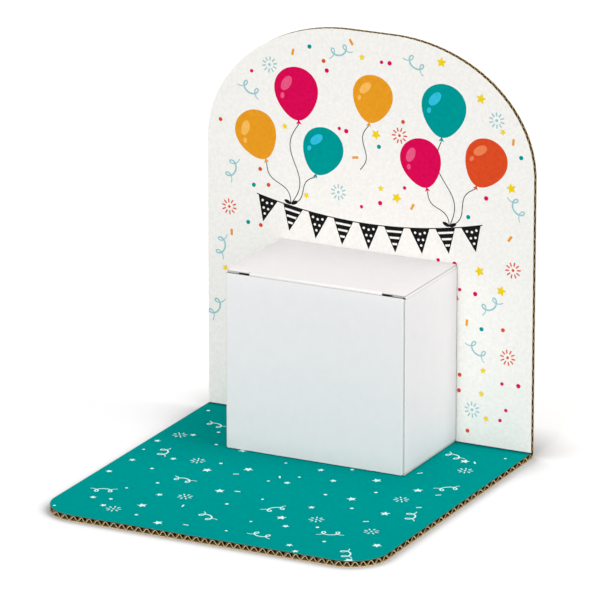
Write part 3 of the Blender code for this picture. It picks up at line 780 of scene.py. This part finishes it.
nicks = joined(*[[(z - NICK_MOUTH, 0.0), (z - NICK_BOTTOM, NICK_DEPTH), (z + NICK_BOTTOM, NICK_DEPTH),
                  (z + NICK_MOUTH, 0.0)] for z in NICK_HEIGHTS])
outline = joined((low_of["side"], 0.0), nicks, (high_of["side"], 0.0), top_edge,
                 (high_of["side"] - GLUE_TAPER, travel[-1]), (low_of["side"] + GLUE_TAPER, travel[-1]),
                 low_edge[::-1])
rows = [*travel[1:-1], *(travel[firsts] - CARD_MARGIN), *(travel[lasts] + CARD_MARGIN)]
wall_starts = np.array([0.0, *travel[lasts]])
wall_ends = np.array([*travel[firsts], travel[-1]])
for start, end in zip(wall_starts[:4], wall_ends[:4]):
    rows += list(np.linspace(start, end, PANEL_STRIPS + 1)[1:-1])
columns = np.linspace(CARTON_FLOOR, CARTON_TOP, 12)[1:-1]
points, faces, cover = cut_sheet(outline, CARD, CARD_EDGE_RADIUS, rows=sorted(rows), columns=columns)
x, y, angle = (np.interp(points[:, 1], travel, path[:, i]) for i in range(3))
# The four walls bow in a little between their creases, most at half height
share = np.clip((points[:, 1][:, None] - wall_starts) / (wall_ends - wall_starts), 0.0, 1.0)
bow = np.sin(share * math.pi)[:, :4].sum(axis=1) * WALL_BOW
rise = np.clip((points[:, 0] - CARTON_FLOOR) / (CARTON_TOP - CARTON_FLOOR), 0.0, 1.0)
out = points[:, 2] - CARD / 2 - bow * np.sin(rise * math.pi)
points = np.column_stack([x + out * np.cos(angle), y + out * np.sin(angle), points[:, 0]])
walls = piece("carton_walls", points, faces, cover, boxboard, SOFT_ANGLE)
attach(walls, "stand")
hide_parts("carton_sleeve")

# The lid and its tuck flap
# One tongue of the same boxboard, creased to the back wall, with an ear at each end of its front
# crease. Beyond the crease the tuck flap goes down behind the front wall by friction alone.

LID_SIDE_SETBACK = 0.0003
LID_CORNER_RADIUS = 0.001
LID_REAR_RADIUS = 0.0001
# How far a closure goes on into the back wall
LID_REAR = 0.00008
BOTTOM_REAR = 0.00002
BOTTOM_SIDE_SETBACK = 0.0001
# At its rear crease a closure is narrower by this on each side, and widens between these places
REAR_INSET = 0.0004
REAR_EASE = (-0.0002, 0.0004)
TUCK_TAB = 0.0606
TUCK_SLIT = 0.0002
TUCK_EAR = 0.0037
TUCK_EAR_DROP = 0.0006
TUCK_LENGTH = 0.014
TUCK_CORNER_RADIUS = 0.008
SWING_CLEARANCE = 0.00025
# The tuck flap's piece starts this far before the crease, so that the crease is one smooth curve
TUCK_LAP = 0.0005


def closure(name, level, inward, gap, radius, setback, rear):
    """The panel that closes one end of the carton.

    Its outline is drawn with past growing from the rear crease to the front. The crease is the wrap
    formula, a quarter turn down to the back wall's edge.
    """
    hinge_y = CARTON_FRONT + CARD + gap + radius
    half = CARTON_SIDE - setback
    slit = TUCK_TAB / 2 + TUCK_SLIT
    outer = LID_REAR_RADIUS + CARD
    line = CARTON_BACK - outer
    front = line - hinge_y
    arc_length = (LID_REAR_RADIUS + CARD / 2) * quarter_turn
    down = -arc_length - rear
    centre = (half - LID_CORNER_RADIUS, front + radius - LID_CORNER_RADIUS)
    corner = arc(centre, (LID_CORNER_RADIUS, LID_CORNER_RADIUS), 0.0, quarter_turn, 8)
    right = joined((half - REAR_INSET, down), (half - REAR_INSET, REAR_EASE[0]), (half, REAR_EASE[1]),
                   corner, (slit, front + radius), (slit, front - TUCK_LAP))
    outline = joined(right, mirrored(right))
    rows = [FLAT_MARGIN, *np.linspace(0.0, -arc_length, CARD_STEPS // 2 + 1),
            *np.linspace(0.0, front, PANEL_STRIPS + 1)[1:-1]]
    columns = np.linspace(-half, half, PANEL_STRIPS + 1)[1:-1]
    points, faces, cover = cut_sheet(outline, CARD, CARD_EDGE_RADIUS, rows=rows, columns=columns,
                                     butt=front - TUCK_LAP)
    on, height = wrap(points[:, 1], points[:, 2], LID_REAR_RADIUS, quarter_turn, CARD)
    points = np.column_stack([points[:, 0], line - on, level + inward * (outer - height)])
    return piece(name, points, faces, cover, boxboard, SOFT_ANGLE)


def tuck_lean(gap, radius):
    """The lean that lets a tuck flap's tip clear the front wall on its circle about the rear crease."""
    swing = (CARTON_BACK - CARTON_FRONT) - CARD - gap
    depth = TUCK_LENGTH + radius
    return math.asin((swing - math.sqrt(swing**2 - depth**2) + SWING_CLEARANCE) / TUCK_LENGTH)


def tuck(name, level, inward, gap, radius):
    """The flap past a closure's front crease: the wrap formula with a quarter turn and a slight lean."""
    turn = quarter_turn + tuck_lean(gap, radius)
    arc_length = (radius - CARD / 2) * turn
    tab = TUCK_TAB / 2
    half = tab + TUCK_EAR
    tip = -arc_length - TUCK_LENGTH
    shoulder = -arc_length - TUCK_EAR_DROP
    centre = (half - TUCK_CORNER_RADIUS, tip + TUCK_CORNER_RADIUS)
    corner = arc(centre, (TUCK_CORNER_RADIUS, TUCK_CORNER_RADIUS), -quarter_turn, 0.0, 20)
    right = joined(corner, (half, shoulder), (tab, shoulder), (tab, TUCK_LAP))
    rows = [*np.linspace(0.0, -arc_length, CARD_STEPS + 1), -arc_length - CARD_MARGIN]
    points, faces, cover = cut_sheet(joined(right, mirrored(right)), CARD, CARD_EDGE_RADIUS, rows=rows,
                                     butt=TUCK_LAP)
    on, height = wrap(points[:, 1], points[:, 2], radius - CARD, turn, CARD)
    hinge_y = CARTON_FRONT + CARD + gap + radius
    points = np.column_stack([points[:, 0], hinge_y + on, level + inward * (radius - height)])
    return piece(name, points, faces, cover, boxboard, SOFT_ANGLE)


lid = closure("lid_panel", CARTON_TOP, -1, CARD_GAP, FOLD_RADIUS, LID_SIDE_SETBACK, LID_REAR)
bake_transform(lid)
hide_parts("lid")
lid_tuck = tuck("lid_tuck_flap_card", CARTON_TOP, -1, CARD_GAP, FOLD_RADIUS)
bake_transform(lid_tuck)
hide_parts("lid_tuck_flap")

# The dust flaps
# A flap creased to the top of each side wall, folded in under the lid before it is shut. A full
# width shoulder closes the lid's front corner; the rest is cut back clear of the tuck flap.

DUST_LENGTH = 0.026
DUST_SHOULDER = 0.006
DUST_SETBACK = 0.0002
DUST_TAPER = 0.006
DUST_CLEARANCE = 0.0005
# The share of the gap over the side wall that the flap's foot closes
DUST_FOOT = 0.7


def dust(name, side, level, inward, gap, radius):
    """A dust flap: the wrap formula with a quarter turn up from the side wall's edge.

    Its crease stops behind the wall's round corner, which the glue flap makes wider on the right.
    Past that corner the shoulder comes forward to the inside of the front wall.
    """
    crease_front = CARTON_FRONT + FOLD_RADIUS + DUST_SETBACK
    front = CARTON_FRONT + CARD + gap
    corner = FOLD_RADIUS - radius + (CARD + CARD_GAP if side > 0 else 0.0)
    rear = CARTON_BACK - FOLD_RADIUS - DUST_SETBACK
    tuck_reach = (TUCK_LENGTH + CARD) * math.sin(tuck_lean(gap, radius)) + CARD
    inner_front = front + tuck_reach + DUST_CLEARANCE
    shoulder = DUST_SHOULDER - radius
    tip = DUST_LENGTH - radius
    arc_length = (radius - CARD / 2) * quarter_turn
    start = -arc_length - DUST_FOOT * gap
    outline = joined((crease_front, start), (rear, start), (rear, tip - DUST_TAPER),
                     (rear - DUST_TAPER, tip), (inner_front + DUST_TAPER, tip),
                     (inner_front, tip - DUST_TAPER), (inner_front, shoulder), (front, shoulder),
                     (front, corner), (crease_front, corner))
    rows = [CARD_MARGIN, *np.linspace(0.0, -arc_length, CARD_STEPS + 1)]
    points, faces, cover = cut_sheet(outline, CARD, CARD_EDGE_RADIUS, rows=rows)
    on, height = wrap(points[:, 1], points[:, 2], radius - CARD, quarter_turn, CARD)
    hinge_z = level + inward * (CARD + gap + radius)
    points = np.column_stack([side * (CARTON_SIDE - radius) - side * on, points[:, 0],
                              hinge_z - inward * height])
    return piece(name, points, faces, cover, boxboard, SOFT_ANGLE)


for side, word in ((-1, "left"), (1, "right")):
    flap = dust("top_dust_flap_" + word, side, CARTON_TOP, -1, CARD_GAP, FOLD_RADIUS)
    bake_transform(flap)
    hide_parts("dust_flap_" + word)

# The bottom closure and its tape
# The same closure mirrored at the carton's foot, pressed flat by the tape. Two strips of
# double-sided tissue tape hold the carton on the base.

bottom_radius = PRESSED_RADIUS + CARD
foot = (CARTON_FLOOR, 1, PRESSED_GAP, bottom_radius)
for card, node in (
        (closure("bottom_closure_panel", *foot, BOTTOM_SIDE_SETBACK, BOTTOM_REAR), "bottom_panel"),
        (tuck("bottom_tuck_flap_card", *foot), "bottom_tuck_flap"),
        (dust("bottom_dust_flap_card_left", -1, *foot), "bottom_dust_flap_left"),
        (dust("bottom_dust_flap_card_right", 1, *foot), "bottom_dust_flap_right")):
    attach(card, "stand")
    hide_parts(node)
# Adhesive-soaked tissue: yellowish, half gloss, with the tissue's own clouds
tape = paper("double_sided_tissue_tape", "#CFC9B4", "#DDD8C6", 1.5, 0.25, 0.35, 0.004, specular=0.5)
for name in ("tape_strip_front", "tape_strip_rear"):
    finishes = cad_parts[name].data.materials
    finishes.clear()
    finishes.append(tape)

# The floor, the light and the camera
# A white sweep under the object, soft studio light from the front, the right and above, and a long
# lens at the height and side of the photograph.

FLOOR_REACH = 4.0
# Within a reach of the object the floor's lift to white fades, down to none at this share of open
# sky, which leaves the contact shadow
FLOOR_LIFT = 0.46
SHADOW_REACH = 0.04
SHADOW_SKY = 0.75
# How bright the world is as a light; to the eye it is white
WORLD_LIGHT = 0.42


def seen_ray(tree):
    """1 for rays seen straight, mirrored or refracted, and 0 for the rest."""
    path = add(tree, "ShaderNodeLightPath").outputs
    seen = add(tree, "ShaderNodeMath", {0: path["Is Camera Ray"], 1: path["Is Glossy Ray"]},
               operation="MAXIMUM")
    return add(tree, "ShaderNodeMath", {0: seen.outputs[0], 1: path["Is Transmission Ray"]},
               operation="MAXIMUM").outputs[0]


floor_mesh = bpy.data.meshes.new("studio_floor")
corners = np.array([(-1, -1, 0), (1, -1, 0), (1, 1, 0), (-1, 1, 0)]) * FLOOR_REACH
floor_mesh.from_pydata(corners.tolist(), [], [(0, 1, 2, 3)])
floor = bpy.data.objects.new("studio_floor", floor_mesh)
scene.collection.objects.link(floor)
white_floor = bpy.data.materials.new("white_paper_sweep")
white_floor.use_nodes = True
tree = white_floor.node_tree
occlusion = add(tree, "ShaderNodeAmbientOcclusion", {"Distance": SHADOW_REACH})
open_sky = add(tree, "ShaderNodeMapRange",
               {"Value": occlusion.outputs["AO"], "From Min": SHADOW_SKY, "To Max": FLOOR_LIFT})
lift = add(tree, "ShaderNodeMath", {0: seen_ray(tree), 1: open_sky.outputs[0]}, operation="MULTIPLY")
feed(tree, tree.nodes["Principled BSDF"],
     {"Base Color": linear("#C8C8C8"), "Roughness": 1.0, "Specular IOR Level": 0.0,
      "Emission Color": (1.0, 1.0, 1.0, 1.0), "Emission Strength": lift.outputs[0]})
floor_mesh.materials.append(white_floor)

world = bpy.data.worlds.new("studio")
scene.world = world
world.use_nodes = True
tree = world.node_tree
strength = add(tree, "ShaderNodeMapRange", {"Value": seen_ray(tree), "To Min": WORLD_LIGHT})
feed(tree, tree.nodes["Background"], {"Color": (1.0, 1.0, 1.0, 1.0), "Strength": strength.outputs[0]})

# level is how bright a white face turned to the lamp shows, spread its apparent width in degrees
for name, direction, spread, level in (
        ("key_softbox", (0.05, -0.97, 0.22), 16, 0.56),
        ("side_softbox", (0.93, 0.0, 0.37), 40, 0.52),
        ("top_softbox", (0.0, 0.0, 1.0), 60, 0.38)):
    light = bpy.data.lights.new(name, "SUN")
    light.angle = math.radians(spread)
    light.energy = level * math.pi
    lamp = bpy.data.objects.new(name, light)
    lamp.rotation_mode = "QUATERNION"
    lamp.rotation_quaternion = Vector(direction).to_track_quat("Z", "Y")
    scene.collection.objects.link(lamp)

VIEW_AZIMUTH = math.radians(26.56)
VIEW_ELEVATION = math.radians(17.51)
VIEW_DISTANCE = 2.5
VIEW_LENS = 370.0
SENSOR_WIDTH = 36.0
# The point looked at, and the shift that puts the object where the photograph has it
VIEW_MIDDLE = Vector((0.0, -0.0005, 0.075))
SHIFT_RIGHT = 0.00514
SHIFT_UP = 0.00478
forward = Vector((-math.sin(VIEW_AZIMUTH) * math.cos(VIEW_ELEVATION),
                  math.cos(VIEW_AZIMUTH) * math.cos(VIEW_ELEVATION), -math.sin(VIEW_ELEVATION)))
right = Vector((math.cos(VIEW_AZIMUTH), math.sin(VIEW_AZIMUTH), 0.0))
up = right.cross(forward)
camera = bpy.data.objects.new("camera", bpy.data.cameras.new("camera"))
camera.data.lens = VIEW_LENS
camera.data.sensor_width = SENSOR_WIDTH
target = VIEW_MIDDLE + right * SHIFT_RIGHT + up * SHIFT_UP
facing = Matrix((right, up, -forward)).transposed()
camera.matrix_world = Matrix.Translation(target - forward * VIEW_DISTANCE) @ facing.to_4x4()
scene.collection.objects.link(camera)
scene.camera = camera
scene.view_settings.view_transform = "Standard"
